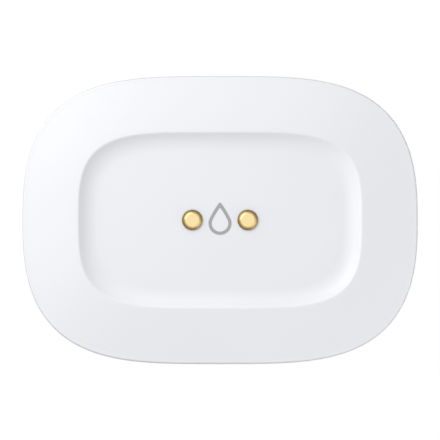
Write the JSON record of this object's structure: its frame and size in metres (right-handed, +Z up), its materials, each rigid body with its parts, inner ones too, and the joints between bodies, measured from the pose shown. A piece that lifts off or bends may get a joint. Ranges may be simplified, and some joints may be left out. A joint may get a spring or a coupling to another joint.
{
  "type": "water leak sensor",
  "caption": "Pebble-shaped water leak sensor with a dished top and gold drip contacts, standing on gold contact feet, with a coin-turn battery door and a sealed push button underneath.",
  "frame": {"origin": "on the floor plane, under the middle of the body, where the feet's lowest faces lie", "axes": "+X along the body's length (right in the picture), +Y along its width (up in the picture), +Z up out of the dish"},
  "size_m": [0.0686, 0.05, 0.019],
  "materials": {
    "cover_white": "satin moulded, cool white",
    "base_white": "fine matte moulded, neutral white",
    "silicone_grey": "moulded silicone",
    "silicone_black": "moulded silicone",
    "screw_steel": "zinc plated",
    "contact_gold": "gold plated, polished",
    "spring_steel": "nickel plated",
    "spring_bronze": "gold flash on bronze strip",
    "board_green": "solder mask",
    "board_blue": "solder mask",
    "tin_shield": "tinned sheet",
    "antenna_white": "fired ceramic",
    "led_lens": "clear resin",
    "chip_dark": "moulded epoxy",
    "switch_black": "moulded",
    "switch_grey": "moulded",
    "button_grey": "satin moulded",
    "print_grey": "pad-printed ink",
    "cell_steel": "nickel plated can"
  },
  "bodies": {
    "housing": {"top_cover": "cover_white", "base": "base_white", "case_seal": "silicone_grey", "case_screws": "screw_steel", "drip_contact_left": "contact_gold", "drip_contact_right": "contact_gold", "floor_contact_front_left": "contact_gold", "floor_contact_front_right": "contact_gold", "floor_contact_rear_left": "contact_gold", "floor_contact_rear_right": "contact_gold", "contact_seals": "silicone_black", "contact_push_rings": "spring_steel", "drip_springs": "spring_bronze", "floor_springs": "spring_steel", "main_board": "board_green", "radio_module": "board_blue", "radio_shield": "tin_shield", "chip_antenna": "antenna_white", "status_led": "led_lens", "board_components": "chip_dark", "connect_switch": "switch_black", "coin_cell": "cell_steel", "positive_clip": "spring_steel", "negative_finger": "spring_steel"},
    "door": {"battery_door": "base_white", "door_seal": "silicone_black"},
    "button": {"connect_button": "button_grey", "button_seal": "silicone_black", "switch_plunger": "switch_grey"}
  },
  "joints": [
    {"name": "door_turn", "type": "hinge", "parent": "housing", "child": "door", "pos_m": [0, 0, 0.0008], "axis": [0, 0, -1], "range_deg": [0, 40]},
    {"name": "button_press", "type": "slide", "parent": "housing", "child": "button", "axis": [0, 0, 1], "range_m": [0, 0.0003], "stiffness_N_per_m": 4000, "springref_m": -0.0004}
  ]
}
